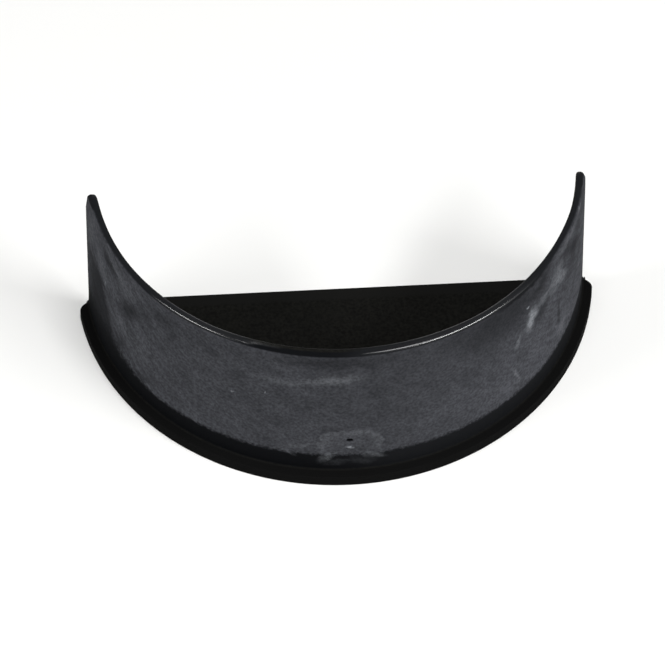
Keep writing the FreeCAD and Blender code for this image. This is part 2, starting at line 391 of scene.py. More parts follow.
# %% Lean the arms, wear the rim, trim the flange
LEFT_LEAN = 0.55 * MM
LEFT_FROM = math.radians(56)
RIGHT_LEAN = 0.5 * MM
RIGHT_FROM = math.radians(69)
LEAN_TO = math.radians(86)
LEAN_HEIGHT = 6.6 * MM
TIP_WEAR = 0.45 * MM
TIP_FROM = math.radians(77)
RIM_WEAR = 0.45 * MM
WEAR_MIDDLE = math.radians(-11)
WEAR_INNER = math.radians(9)
WEAR_OUTER = math.radians(16)
TRIM = 0.4 * MM
TRIM_FROM = 53.2 * MM
TRIM_TO = 54.6 * MM
TRIM_LENGTH = 5.0 * MM


def ease(value, start, end):
    share = min(max((value - start) / (end - start), 0.0), 1.0)
    return share * share * (3 - 2 * share)


middle_of_wall = (BORE_RADIUS + RIM_RADIUS) / 2
for vert in cap.verts:
    x, y, z = vert.co
    angle = math.atan2(x, -y)
    on_outside = math.hypot(x, y) > middle_of_wall
    if z > CAP_HEIGHT - MERGE and on_outside:
        vert.co.z -= RIM_WEAR * (1 - ease(abs(angle - WEAR_MIDDLE), WEAR_INNER, WEAR_OUTER))
    high_up = ease(z, CAP_HEIGHT - LEAN_HEIGHT, CAP_HEIGHT)
    lean = RIGHT_LEAN * ease(angle, RIGHT_FROM, LEAN_TO) - LEFT_LEAN * ease(-angle, LEFT_FROM, LEAN_TO)
    vert.co.x -= lean * high_up
    if on_outside:
        at_tip = ease(z, CAP_HEIGHT - LEAN_HEIGHT / 2, CAP_HEIGHT)
        vert.co.x -= TIP_WEAR * ease(angle, TIP_FROM, LEAN_TO) * at_tip
    if z < PLATE_TOP + MERGE:
        near_end = ease(y, STRAIGHT_EDGE - TRIM_LENGTH, STRAIGHT_EDGE)
        vert.co.y -= TRIM * ease(abs(x), TRIM_FROM, TRIM_TO) * near_end
print("arms lean in by", round(LEFT_LEAN / MM, 2), "and", round(RIGHT_LEAN / MM, 2), "mm")

# %% [markdown]
# Rounded edges
# No moulded edge is sharp, and the thin bright lines along the rim are light caught on such a round.
# Outside edges that turn sharply are picked by their angle. The wall's edges get a large round and the
# flange's a small one, because the flange closes against the end of the gutter. At the outer corner of
# each arm's end the round is wider than the narrow face beside it, so that face folds over itself there,
# by up to half a millimetre, and how it splits into triangles can change from run to run.

# %% Round the edges
RIM_ROUND = 0.6 * MM
FLANGE_ROUND = 0.12 * MM
ROUND_STEPS = 5
FOOT_CLEAR = 2.0 * MM
SHARP = math.radians(50)


def round_edges(chosen, radius):
    edges = [e for e in cap.edges if e.is_convex and e.calc_face_angle() > SHARP and chosen(e)]
    bmesh.ops.bevel(cap, geom=edges, offset=radius, offset_type="OFFSET", segments=ROUND_STEPS,
                    profile=0.5, affect="EDGES", clamp_overlap=False, material=-1)
    bmesh.ops.remove_doubles(cap, verts=cap.verts, dist=MERGE)
    bmesh.ops.recalc_face_normals(cap, faces=cap.faces)
    print("rounded", len(edges), "edges by", round(radius / MM, 2), "mm")


def is_wall_edge(edge):
    return min(v.co.z for v in edge.verts) > PLATE_TOP + FOOT_CLEAR


def is_flange_edge(edge):
    on_flange = all(math.hypot(v.co.x, v.co.y) > FOOT_RADIUS + FOOT_FILLET for v in edge.verts)
    on_plate = all(abs(v.co.x) < BORE_FOOT - FOOT_CLEAR for v in edge.verts)
    return max(v.co.z for v in edge.verts) < PLATE_TOP + MERGE and (on_flange or on_plate)


round_edges(is_wall_edge, RIM_ROUND)
round_edges(is_flange_edge, FLANGE_ROUND)
for vert in cap.verts:
    vert.co.y = min(vert.co.y, STRAIGHT_EDGE)
print("volume in mm3:", round(cap.calc_volume() / MM ** 3, 1))
print("open edges:", sum(e.is_boundary for e in cap.edges))

# %% [markdown]
# The burr
# Where the two halves of a mould meet, a little melt can creep out and stand up as a burr. One is left at
# the right end of the flange, on its top edge. It could be a small cone set on top, but it grew out of
# the same melt, so the nearest point of the edge is simply drawn up.

# %% Raise the burr
BURR_PLACE = Vector((54.6, -5.5, 2.8)) * MM
BURR_HEIGHT = 0.9 * MM
level = [v for v in cap.verts if abs(v.co.z - PLATE_TOP) < MERGE]
flange_top = [v for v in level if v.co.xy.length > FOOT_RADIUS + FOOT_FILLET]
burr = min(flange_top, key=lambda v: (v.co - BURR_PLACE).length)
burr.co.z += BURR_HEIGHT
print("burr at", [round(c / MM, 2) for c in burr.co])

# %% [markdown]
# The gate mark
# Melt enters a mould through a small gate, and where it was torn off it leaves a pit with a ragged lip.
# The wall's own faces are too large for it, so a patch of them is divided first. Then the points near the
# gate are pushed in, and those just below it are pulled out a little.

# %% Make the gate mark
GATE_HEIGHT = 12.7 * MM
GATE_RADIUS = 0.75 * MM
GATE_FLAT = 1.35
GATE_DEPTH = 1.0 * MM
LIP_DROP = 2.2 * MM
LIP_HEIGHT = 0.3 * MM
PATCH_WIDTH = 1.9 * MM
PATCH_HEIGHT = 3.0 * MM
PATCH_CUTS = 9


def near_gate(point):
    in_height = abs(point.z - GATE_HEIGHT) < PATCH_HEIGHT
    return point.y < -middle_of_wall and abs(point.x) < PATCH_WIDTH and in_height


patch = {e for f in cap.faces if near_gate(f.calc_center_median()) for e in f.edges}
bmesh.ops.subdivide_edges(cap, edges=list(patch), cuts=PATCH_CUTS, use_grid_fill=True)
pushed = 0
for vert in cap.verts:
    if vert.co.y > -middle_of_wall:
        continue
    pit = math.hypot(vert.co.x, (vert.co.z - GATE_HEIGHT) * GATE_FLAT) / GATE_RADIUS
    lip = math.hypot(vert.co.x, vert.co.z - GATE_HEIGHT + LIP_DROP) / GATE_RADIUS
    deep = GATE_DEPTH * max(0.0, 1 - pit * pit)
    proud = LIP_HEIGHT * max(0.0, 1 - lip * lip)
    if deep or proud:
        vert.co.y += deep - proud
        pushed += 1
print("gate:", pushed, "points moved")

# %% [markdown]
# Make it an object
# The mesh becomes a Blender object at the origin, with its place in its points. Faces are shaded smooth,
# and the Weighted Normal modifier keeps the large flat faces flat, so that only the small rounds look
# round.

# %% Make the object
cap_data = bpy.data.meshes.new("moulded_end_cap")
for face in cap.faces:
    face.smooth = True
cap.to_mesh(cap_data)
cap.free()
moulded_cap = bpy.data.objects.new("moulded_end_cap", cap_data)
bpy.context.scene.collection.objects.link(moulded_cap)
even = moulded_cap.modifiers.new("flat_faces_stay_flat", "WEIGHTED_NORMAL")
even.mode = "FACE_AREA"
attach(moulded_cap, "root")
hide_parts("end_cap")
print("object:", moulded_cap.name, len(cap_data.polygons), "faces")

# %% [markdown]
# Black PVC, injection moulded
# The plastic is dyed black through and through, and fresh from the mould it is evenly black. The outside of
# the wall is painted a matt, mottled grey. Its grey stands for a painted reflection of the white table,
# which the wall would mirror, and its mottling, scuffs and stains are the real marks of handling and
# weather. The grey stops in a line above the flange, where the wall would mirror the dark flange. To place
# such things the wall is unrolled in the shader, as arc length and height in millimetres, so that each mark
# has a real place and size.

# %% Start the plastic and unroll the wall
plastic = bpy.data.materials.new("black_pvc_moulded")
plastic.use_nodes = True
tree = plastic.node_tree
tree.nodes.clear()

coordinates = add_node(tree, "ShaderNodeTexCoord", {}, {}).outputs["Object"]
place = add_node(tree, VECTOR, {"operation": "SCALE"}, {0: coordinates, "Scale": 1 / MM}).outputs[0]
axes = add_node(tree, "ShaderNodeSeparateXYZ", {}, {0: place}).outputs
flat_place = add_node(tree, VECTOR, TIMES, {0: place, 1: (1.0, 1.0, 0.0)}).outputs[0]
radius = add_node(tree, VECTOR, LENGTH, {0: flat_place}).outputs["Value"]
front = add_node(tree, MATH, TIMES, {0: axes["Y"], 1: -1.0}).outputs[0]
bearing = add_node(tree, MATH, {"operation": "ARCTAN2"}, {0: axes["X"], 1: front}).outputs[0]
turned = add_node(tree, MATH, ABSOLUTE, {0: bearing}).outputs[0]
arc = add_node(tree, MATH, TIMES, {0: bearing, 1: FOOT_RADIUS / MM}).outputs[0]
unrolled = add_node(tree, "ShaderNodeCombineXYZ", {}, {"X": arc, "Y": axes["Z"]}).outputs[0]
print("unrolled wall in mm:", round(math.pi * FOOT_RADIUS / MM), "by", round(WALL_HEIGHT / MM, 1))

# %% [markdown]
# Which surface is which
# One moulding has one material, but its surfaces have aged differently: the plate, the flange, and the
# inside and the outside of the wall. They could be four materials on four sets of faces. Masks from
# height and radius do it in one, with soft borders, and the borders stay where they are when the mesh
# changes.

# %% Mask the plate, the flange and the two sides of the wall
OUTSIDE_FROM = 52.3
OUTSIDE_TO = 52.6
ABOVE_FROM = PLATE_TOP / MM + 0.1
ABOVE_TO = PLATE_TOP / MM + 0.4
FLANGE_FROM = FOOT_RADIUS / MM
FLANGE_TO = FLANGE_FROM + 0.5
outside = add_node(tree, RANGE, {},
                   {"Value": radius, "From Min": OUTSIDE_FROM, "From Max": OUTSIDE_TO}).outputs[0]
above = add_node(tree, RANGE, {},
                 {"Value": axes["Z"], "From Min": ABOVE_FROM, "From Max": ABOVE_TO}).outputs[0]
outer_wall = add_node(tree, MATH, TIMES, {0: outside, 1: above}).outputs[0]
on_flange = add_node(tree, RANGE, {},
                     {"Value": radius, "From Min": FLANGE_FROM, "From Max": FLANGE_TO}).outputs[0]
print("flange from radius", round(FLANGE_FROM, 2), "mm, wall from height", round(ABOVE_FROM, 2), "mm")

# %% [markdown]
# Where the grey stops at the rim
# The wall's grey, painted reflection and skin together, ends on the outer round of the rim. On the arms it
# climbs further over the round, at their tips it stops much lower, and on the worn arc near the invert it
# stops lower too. The border could be painted by hand, but three terms that grow with the bearing are exact
# and easy to move.

# %% Mask the rim
# Height where the wall's grey, painted reflection of the table and skin, stops on the rim
GREY_TOP_AT_RIM = CAP_HEIGHT / MM - 0.55
RIM_SOFT = 0.12
ARM_RISE = 0.42
ARM_FROM = math.radians(44)
ARM_TO = math.radians(60)
TIP_DROP = 1.6
TIP_DROP_FROM = math.radians(77)
TIP_DROP_TO = math.radians(83)
WORN_DROP = 0.18
off_wear = add_node(tree, MATH, MINUS, {0: bearing, 1: WEAR_MIDDLE}).outputs[0]
off_wear = add_node(tree, MATH, ABSOLUTE, {0: off_wear}).outputs[0]
grey_border_height = add_node(tree, RANGE, SMOOTH, {
    "Value": turned, "From Min": ARM_FROM, "From Max": ARM_TO,
    "To Min": GREY_TOP_AT_RIM, "To Max": GREY_TOP_AT_RIM + ARM_RISE,
}).outputs[0]
worn_drop = add_node(tree, RANGE, SMOOTH, {
    "Value": off_wear, "From Min": WEAR_OUTER, "From Max": WEAR_INNER, "To Max": WORN_DROP,
}).outputs[0]
tip_drop = add_node(tree, RANGE, SMOOTH, {
    "Value": turned, "From Min": TIP_DROP_FROM, "From Max": TIP_DROP_TO, "To Max": TIP_DROP,
}).outputs[0]
over_grey_border = add_node(tree, MATH, MINUS, {0: axes["Z"], 1: grey_border_height}).outputs[0]
for drop in (worn_drop, tip_drop):
    over_grey_border = add_node(tree, MATH, PLUS, {0: over_grey_border, 1: drop}).outputs[0]
rim = add_node(tree, RANGE, {},
               {"Value": over_grey_border, "From Min": -RIM_SOFT, "From Max": RIM_SOFT}).outputs[0]
below_rim = add_node(tree, MATH, MINUS, {0: 1.0, 1: rim}).outputs[0]
on_wall = add_node(tree, MATH, TIMES, {0: outer_wall, 1: below_rim}).outputs[0]
print("grey skin up to", round(GREY_TOP_AT_RIM, 2), "mm, on the arms", round(GREY_TOP_AT_RIM + ARM_RISE, 2), "mm")

# %% [markdown]
# Grain, clouds and streaks
# The wall's grey is mottled at three sizes: a grain under a millimetre, clouds of a few millimetres, and
# streaks along the way the cap was wiped and stacked. Each is a noise, with its size in millimetres. The
# real grain is finer still, and it is drawn this coarse because a finer one would not show.

# %% Make the three noises
GRAIN_SIZE = 0.65
CLOUD_SIZE = 5.0
STREAK_LENGTH = 9.0
STREAK_WIDTH = 1.6
STREAK_TILT = math.radians(-35)
grain = add_node(tree, NOISE, {}, {
    "Vector": place, "Scale": 1 / GRAIN_SIZE, "Detail": 3.0, "Roughness": 0.6,
}).outputs["Fac"]
clouds = add_node(tree, NOISE, {}, {
    "Vector": place, "Scale": 1 / CLOUD_SIZE, "Detail": 4.0, "Roughness": 0.55,
}).outputs["Fac"]
stretched = add_node(tree, MAPPING, {"vector_type": "TEXTURE"}, {
    "Vector": unrolled, "Rotation": (0.0, 0.0, STREAK_TILT), "Scale": (STREAK_LENGTH, STREAK_WIDTH, 1.0),
}).outputs[0]
streaks = add_node(tree, NOISE, {}, {
    "Vector": stretched, "Scale": 1.0, "Detail": 4.0, "Roughness": 0.6,
}).outputs["Fac"]
print("grain", GRAIN_SIZE, "mm, clouds", CLOUD_SIZE, "mm, streaks", STREAK_LENGTH, "by", STREAK_WIDTH, "mm")

# %% [markdown]
# Uneven grain, clouds and streaks
# A noise gives values around a half, and a finish needs a factor around one. So each noise is stretched to
# how far it makes the grey lighter or darker. The streaks are stronger on the arms, which rub against other
# caps in a stack.

# %% Turn the noises into factors
NOISE_LOW, NOISE_HIGH = 0.3, 0.7
GRAIN_LOW, GRAIN_HIGH = 0.35, 0.65
CLOUD_SHADES = (0.80, 1.16)
GRAIN_SHADES = (0.68, 1.31)
STREAK_SHADES = (0.7, 1.7)
STREAK_FROM = math.radians(35)
STREAK_TO = math.radians(60)
cloudy = add_node(tree, RANGE, {}, {
    "Value": clouds, "From Min": NOISE_LOW, "From Max": NOISE_HIGH,
    "To Min": CLOUD_SHADES[0], "To Max": CLOUD_SHADES[1],
}).outputs[0]
grainy = add_node(tree, RANGE, {}, {
    "Value": grain, "From Min": GRAIN_LOW, "From Max": GRAIN_HIGH,
    "To Min": GRAIN_SHADES[0], "To Max": GRAIN_SHADES[1],
}).outputs[0]
on_arms = add_node(tree, RANGE, SMOOTH, {
    "Value": turned, "From Min": STREAK_FROM, "From Max": STREAK_TO,
    "To Min": STREAK_SHADES[0], "To Max": STREAK_SHADES[1],
}).outputs[0]
streaky = add_node(tree, MATH, MINUS, {0: streaks, 1: 0.5}).outputs[0]
streaky = add_node(tree, MATH, TIMES_PLUS, {0: streaky, 1: on_arms, 2: 1.0}).outputs[0]
print("the grain makes the skin", GRAIN_SHADES[0], "to", GRAIN_SHADES[1], "times as strong")

# %% [markdown]
# Scuffs and smears
# Pale scuffs are places where the skin is scraped, and dark smears are where it is rubbed off or wet
# stains dried. Each is an ellipse on the unrolled wall, given by its place, size, tilt and strength. A
# noise bends the coordinates first, so that no edge is a clean ellipse.

# %% List the scuffs and the smears
# Degrees round from the invert, height, half length and half width in mm, tilt in degrees, strength
SCUFFS = (
    (-3.0, 33.2, 6.5, 1.8, 4.0, 0.22), (-14.0, 31.6, 9.0, 1.3, 4.0, 0.11),
    (45.5, 34.0, 0.6, 0.6, 0.0, 0.8), (47.2, 28.8, 3.8, 1.9, 78.0, 0.8),
    (43.0, 25.2, 2.8, 0.8, 60.0, 0.24), (57.5, 32.8, 4.6, 3.0, 60.0, 0.28),
    (52.0, 31.5, 3.6, 1.6, 10.0, 0.22), (60.5, 30.5, 3.4, 2.0, -40.0, 0.28),
    (64.0, 39.6, 9.0, 1.4, 0.0, 0.16), (42.6, 14.0, 4.2, 0.5, -72.0, 0.22),
    (61.0, 13.0, 2.2, 3.4, 0.0, 0.12), (-19.5, 27.0, 0.25, 0.25, 0.0, 0.6),
    (-27.0, 24.0, 0.25, 0.25, 0.0, 0.5), (-70.0, 30.5, 6.0, 2.8, -60.0, 0.13),
    (-61.0, 37.0, 8.0, 2.6, -30.0, 0.1), (-78.0, 35.0, 7.0, 3.0, 70.0, 0.12),
    (-5.0, 7.4, 2.8, 1.1, 40.0, 0.2), (5.4, 7.4, 3.0, 1.2, -25.0, 0.2),
    # The pale mark at 0.1 degrees and 10.4 mm is a painted highlight on the gate's raised lip
    (0.1, 10.4, 0.9, 0.45, 0.0, 0.6), (-11.5, 10.2, 4.0, 0.7, 12.0, 0.1),
    (-14.0, 8.0, 1.8, 0.6, -30.0, 0.12), (-2.6, 5.6, 3.6, 1.4, 10.0, 0.05),
    (3.0, 5.8, 3.2, 1.4, -10.0, 0.05), (-57.0, 19.5, 9.0, 5.0, -20.0, 0.05),
    # The pale spot at 72 degrees and 40.5 mm sits just under the outer rim edge
    (72.0, 40.5, 1.6, 0.6, 0.0, 0.5), (-68.5, 27.0, 1.2, 0.4, 70.0, 0.3),
)
SMEARS = (
    (-65.5, 36.2, 4.6, 1.9, -25.0, 0.65), (-57.5, 28.8, 5.6, 2.4, 41.0, 0.62),
    (67.0, 30.0, 8.0, 4.0, 60.0, 0.4), (-72.0, 24.0, 8.0, 3.4, -60.0, 0.3),
    (-57.0, 21.0, 4.0, 2.2, -60.0, 0.35), (-52.0, 33.0, 4.5, 2.0, -40.0, 0.35),
    (51.5, 28.0, 4.0, 2.2, 40.0, 0.5), (65.0, 35.0, 8.0, 2.2, -35.0, 0.5),
    (38.0, 37.5, 15.0, 9.5, 0.0, 0.6), (46.0, 41.0, 10.0, 1.1, 0.0, 1.0),
    (-9.7, 23.5, 1.2, 0.9, 0.0, 0.35), (-4.0, 39.0, 15.0, 2.8, 0.0, 0.45),
    (-46.0, 36.5, 6.5, 3.6, 0.0, 0.3), (-43.0, 32.5, 2.8, 1.5, 60.0, 0.35),
    (-34.0, 35.5, 6.0, 2.2, -20.0, 0.35), (70.0, 22.0, 8.0, 2.6, 60.0, 0.3),
    (30.0, 24.0, 9.0, 2.0, -20.0, 0.15), (-50.0, 21.0, 2.2, 0.8, 80.0, 0.25),
    (-61.5, 14.0, 4.0, 2.4, 60.0, 0.45), (-53.5, 9.8, 3.0, 1.2, 0.0, 0.35),
    (59.3, 19.5, 5.0, 0.9, 90.0, 0.55), (51.0, 37.5, 4.5, 2.0, 35.0, 0.45),
)
print("scuffs:", len(SCUFFS), "smears:", len(SMEARS))

# %% [markdown]
# From a list to a mask
# A Mapping node turns an ellipse of any place, size and tilt into a circle of radius one, so the distance
# from its middle says how strong a mark is at a point. The marks of a list are added up to one mask. What
# the smears leave is what is kept of the skin.

# %% Place the scuffs and the smears
WARP = 3.0
WARP_SIZE = 2.2
# A mark is full inside the first of these shares of its size and gone outside the second
MARK_FULL, MARK_GONE = 0.1, 1.3
warp = add_node(tree, NOISE, {},
                {"Vector": unrolled, "Scale": 1 / WARP_SIZE, "Detail": 3.0}).outputs["Color"]
warp = add_node(tree, VECTOR, MINUS, {0: warp, 1: (0.5, 0.5, 0.5)}).outputs[0]
warped = add_node(tree, VECTOR, TIMES_PLUS, {0: warp, 1: (WARP, WARP, 0.0), 2: unrolled}).outputs[0]


def add_marks(marks):
    total = 0.0
    for degrees, rise_up, half_length, half_width, tilt, strength in marks:
        mark = add_node(tree, MAPPING, {"vector_type": "TEXTURE"}, {
            "Vector": warped,
            "Location": (math.radians(degrees) * FOOT_RADIUS / MM, rise_up, 0.0),
            "Rotation": (0.0, 0.0, math.radians(tilt)),
            "Scale": (half_length, half_width, 1.0),
        }).outputs[0]
        from_middle = add_node(tree, VECTOR, LENGTH, {0: mark}).outputs["Value"]
        shade = add_node(tree, RANGE, SMOOTH, {
            "Value": from_middle, "From Min": MARK_GONE, "From Max": MARK_FULL, "To Max": strength,
        }).outputs[0]
        total = add_node(tree, MATH, PLUS, {0: total, 1: shade}).outputs[0]
    return total


scuff = add_marks(SCUFFS)
smear = add_marks(SMEARS)
kept = add_node(tree, MATH, {"operation": "SUBTRACT", "use_clamp": True}, {0: 1.0, 1: smear}).outputs[0]
print("plastic nodes so far:", len(tree.nodes))

# %% [markdown]
# Painted shade in the gate's pit
# The grey is kept out of the gate's pit, so that the pit shows dark, as painted shade in the recess. A smear
# would be bent away from the pit by the noise, and the pit's true place is known, so it gets a mask of its
# own that isn't bent.

# %% Paint shade into the gate's pit
PIT_SHADE_FULL, PIT_SHADE_GONE = 0.85, 1.1
gate_place = add_node(tree, MAPPING, {"vector_type": "TEXTURE"}, {
    "Vector": unrolled,
    "Location": (0.0, GATE_HEIGHT / MM, 0.0),
    "Scale": (GATE_RADIUS / MM, GATE_RADIUS / GATE_FLAT / MM, 1.0),
}).outputs[0]
from_gate = add_node(tree, VECTOR, LENGTH, {0: gate_place}).outputs["Value"]
# Inside the pit the grey is taken out, which paints shade into the recess
outside_pit_shade = add_node(tree, RANGE, {},
                    {"Value": from_gate, "From Min": PIT_SHADE_FULL, "From Max": PIT_SHADE_GONE}).outputs[0]
kept = add_node(tree, MATH, TIMES, {0: kept, 1: outside_pit_shade}).outputs[0]
print("gate bare within", round(PIT_SHADE_FULL * GATE_RADIUS / MM, 2), "mm")

# %% [markdown]
# The blush around the gate
# Melt that enters a cold mould chills at once around the gate, and leaves a pale, scalloped arch there,
# called blush. It is filled faintly and has a brighter border on its upper side. An ellipse would be too
# pointed for it, so its coordinates are squared first, which squares its shoulders too.

# %% Place the blush
BLUSH_WIDTH = 6.9
BLUSH_HEIGHT = 7.4
BLUSH_PLACE = (0.3, 8.4, 0.0)
BLUSH_FILL = 0.035
BLUSH_BORDER = 0.15
BLUSH_FULL, BLUSH_GONE = 0.85, 1.12
BORDER_FROM, BORDER_TO = 0.4, 0.95
UPPER_FROM, UPPER_TO = 6.5, 12.0
blush_place = add_node(tree, MAPPING, {"vector_type": "TEXTURE"}, {
    "Vector": warped, "Location": BLUSH_PLACE, "Scale": (BLUSH_WIDTH, BLUSH_HEIGHT, 1.0),
}).outputs[0]
blush_square = add_node(tree, VECTOR, TIMES, {0: blush_place, 1: blush_place}).outputs[0]
blush_away = add_node(tree, VECTOR, LENGTH, {0: blush_square}).outputs["Value"]
blush = add_node(tree, RANGE, SMOOTH,
                 {"Value": blush_away, "From Min": BLUSH_GONE, "From Max": BLUSH_FULL}).outputs[0]
border = add_node(tree, RANGE, SMOOTH, {
    "Value": blush_away, "From Min": BORDER_FROM, "From Max": BORDER_TO,
    "To Min": BLUSH_FILL, "To Max": BLUSH_BORDER,
}).outputs[0]
upper = add_node(tree, RANGE, SMOOTH,
                 {"Value": axes["Z"], "From Min": UPPER_FROM, "From Max": UPPER_TO}).outputs[0]
for part in (border, upper, kept):
    blush = add_node(tree, MATH, TIMES, {0: blush, 1: part}).outputs[0]
print("blush", 2 * BLUSH_WIDTH, "mm wide")

# %% [markdown]
# All pale marks together
# Scuffs and blush are both a paler film on the wall, so they are added up to one mask. The grain breaks
# it up, because a film catches on the high points of a surface first.

# %% Add up the pale marks
PATCHY_SHADES = (0.6, 1.3)
pale = add_node(tree, MATH, PLUS, {0: scuff, 1: blush}).outputs[0]
patchy = add_node(tree, RANGE, {}, {
    "Value": grain, "From Min": GRAIN_LOW, "From Max": GRAIN_HIGH,
    "To Min": PATCHY_SHADES[0], "To Max": PATCHY_SHADES[1],
}).outputs[0]
pale = add_node(tree, MATH, TIMES, {0: pale, 1: patchy}).outputs[0]
pale = add_node(tree, MATH, {"operation": "MULTIPLY", "use_clamp": True}, {0: pale, 1: on_wall}).outputs[0]
print("pale marks:", len(SCUFFS), "scuffs and the blush")

# %% [markdown]
# How far down the painted grey reaches
# Above the flange the grey stops, and the dark band left there is a painted reflection of the dark flange in
# the wall. Its border is nearly straight in front, and it climbs along the two arms, most on the left one,
# where it is softer too. So the border's height and softness depend on the bearing, and the grain makes it
# ragged.

# %% Make the border of the dark band
BAND_TOP = 7.85
BAND_SOFT = 0.7
BAND_RAGGED = 0.5
LEFT_CLIMB = 3.4
LEFT_SOFT = 2.2
CLIMB_LEFT_FROM, CLIMB_LEFT_TO = math.radians(-48), math.radians(-66)
RIGHT_CLIMB = 1.2
CLIMB_RIGHT_FROM, CLIMB_RIGHT_TO = math.radians(48), math.radians(75)
left_arm = add_node(tree, RANGE, SMOOTH,
                    {"Value": bearing, "From Min": CLIMB_LEFT_FROM, "From Max": CLIMB_LEFT_TO}).outputs[0]
right_arm = add_node(tree, RANGE, SMOOTH,
                     {"Value": bearing, "From Min": CLIMB_RIGHT_FROM, "From Max": CLIMB_RIGHT_TO}).outputs[0]
top = add_node(tree, MATH, TIMES_PLUS, {0: left_arm, 1: LEFT_CLIMB, 2: BAND_TOP}).outputs[0]
top = add_node(tree, MATH, TIMES_PLUS, {0: right_arm, 1: RIGHT_CLIMB, 2: top}).outputs[0]
soft = add_node(tree, MATH, TIMES_PLUS, {0: left_arm, 1: LEFT_SOFT, 2: BAND_SOFT}).outputs[0]
ragged = add_node(tree, RANGE, {}, {
    "Value": grain, "From Min": NOISE_LOW, "From Max": NOISE_HIGH,
    "To Min": -BAND_RAGGED, "To Max": BAND_RAGGED,
}).outputs[0]
over_band = add_node(tree, MATH, MINUS, {0: axes["Z"], 1: top}).outputs[0]
over_band = add_node(tree, MATH, {"operation": "DIVIDE"}, {0: over_band, 1: soft}).outputs[0]
over_band = add_node(tree, MATH, PLUS, {0: over_band, 1: ragged}).outputs[0]
# Below this border the wall has no grey, so the dark band there is the painted reflection of the flange
reflection_and_skin = add_node(tree, RANGE, SMOOTH, {"Value": over_band, "From Min": -1.0, "From Max": 1.0}).outputs[0]
print("bare band up to", BAND_TOP, "mm in front,", round(BAND_TOP + LEFT_CLIMB, 2), "mm on the left arm")

# %% [markdown]
# The dark patch on the left arm
# Low on the left arm the grey is weaker, in a dark patch with a slanting border. It is too large and too
# straight for a smear. So it is everything on one side of a slanting line and under one height, on the bent
# coordinates, and it is darker further down and fades again at the arm's end.

# %% Weaken the grey in the patch
PATCH_EDGE = -66.0
PATCH_TOP = 26.5
PATCH_FOOT = 11.0
PATCH_SLANT = 0.4
PATCH_DIMMING = (0.6, 0.82)
EDGE_GONE, EDGE_FULL = -1.0, 2.2
TOP_GONE, TOP_FULL = 1.2, -0.8
END_FROM, END_TO = math.radians(-77), math.radians(-84)
END_SHARE = 0.3
bent = add_node(tree, "ShaderNodeSeparateXYZ", {}, {0: warped}).outputs
patch_edge = add_node(tree, MATH, TIMES_PLUS, {
    0: bent["Y"], 1: -PATCH_SLANT, 2: PATCH_EDGE + PATCH_SLANT * PATCH_TOP,
}).outputs[0]
past_edge = add_node(tree, MATH, MINUS, {0: patch_edge, 1: bent["X"]}).outputs[0]
past_edge = add_node(tree, RANGE, SMOOTH,
                     {"Value": past_edge, "From Min": EDGE_GONE, "From Max": EDGE_FULL}).outputs[0]
under_top = add_node(tree, RANGE, SMOOTH, {
    "Value": bent["Y"], "From Min": PATCH_TOP + TOP_GONE, "From Max": PATCH_TOP + TOP_FULL,
}).outputs[0]
arm_end = add_node(tree, RANGE, {}, {
    "Value": bearing, "From Min": END_FROM, "From Max": END_TO, "To Min": 1.0, "To Max": END_SHARE,
}).outputs[0]
patch_dimming = add_node(tree, RANGE, {}, {
    "Value": axes["Z"], "From Min": PATCH_TOP, "From Max": PATCH_FOOT,
    "To Min": PATCH_DIMMING[0], "To Max": PATCH_DIMMING[1],
}).outputs[0]
for part in (past_edge, under_top, arm_end):
    patch_dimming = add_node(tree, MATH, TIMES, {0: patch_dimming, 1: part}).outputs[0]
undimmed = add_node(tree, MATH, MINUS, {0: 1.0, 1: patch_dimming}).outputs[0]
print("patch up to", PATCH_TOP, "mm, from", -PATCH_EDGE, "mm left of the invert")

# %% [markdown]
# The grey's strength
# The wall's grey, painted reflection of the table and real skin together, is a little stronger to the left
# and clearly stronger on the right arm, and on the right it is duller towards the rim. All that bears on it
# is a factor, so the grey is one product: its border, the patch, the smears, the three noises, these slow
# changes and the mask of the wall.

# %% Make the wall's grey
RIGHT_LIGHTER = 1.5
RIGHT_LIGHTER_FROM, RIGHT_LIGHTER_TO = math.radians(0), math.radians(55)
LEFT_LIGHTER = 1.1
LEFT_LIGHTER_FROM, LEFT_LIGHTER_TO = math.radians(-18), math.radians(-42)
TOP_DULLER = 0.3
DULLER_FROM, DULLER_TO = math.radians(-40), math.radians(40)
DULLER_LOW, DULLER_HIGH = 14.0, 38.0
right_lighter = add_node(tree, RANGE, SMOOTH, {
    "Value": bearing, "From Min": RIGHT_LIGHTER_FROM, "From Max": RIGHT_LIGHTER_TO,
    "To Min": 1.0, "To Max": RIGHT_LIGHTER,
}).outputs[0]
left_lighter = add_node(tree, RANGE, SMOOTH, {
    "Value": bearing, "From Min": LEFT_LIGHTER_FROM, "From Max": LEFT_LIGHTER_TO,
    "To Min": 1.0, "To Max": LEFT_LIGHTER,
}).outputs[0]
duller = add_node(tree, RANGE, SMOOTH, {
    "Value": bearing, "From Min": DULLER_FROM, "From Max": DULLER_TO, "To Max": TOP_DULLER,
}).outputs[0]
high_up = add_node(tree, RANGE, {},
                   {"Value": axes["Z"], "From Min": DULLER_LOW, "From Max": DULLER_HIGH}).outputs[0]
duller = add_node(tree, MATH, TIMES, {0: duller, 1: high_up}).outputs[0]
even_top = add_node(tree, MATH, MINUS, {0: 1.0, 1: duller}).outputs[0]
for part in (undimmed, kept, cloudy, streaky, grainy, right_lighter, left_lighter, even_top, on_wall):
    reflection_and_skin = add_node(tree, MATH, TIMES, {0: reflection_and_skin, 1: part}).outputs[0]
print("reflection_and_skin", RIGHT_LIGHTER, "times as strong on the right arm")

# %% [markdown]
# The bare plastic's colour
# Bare, the plastic is near black under a trace of dust, a little bluer on the wall and dustier on the
# wall's right half. Along the plate's straight edge runs a faint paler strip. The colours lie over each
# other in one chain of mixes, from the plate outwards.

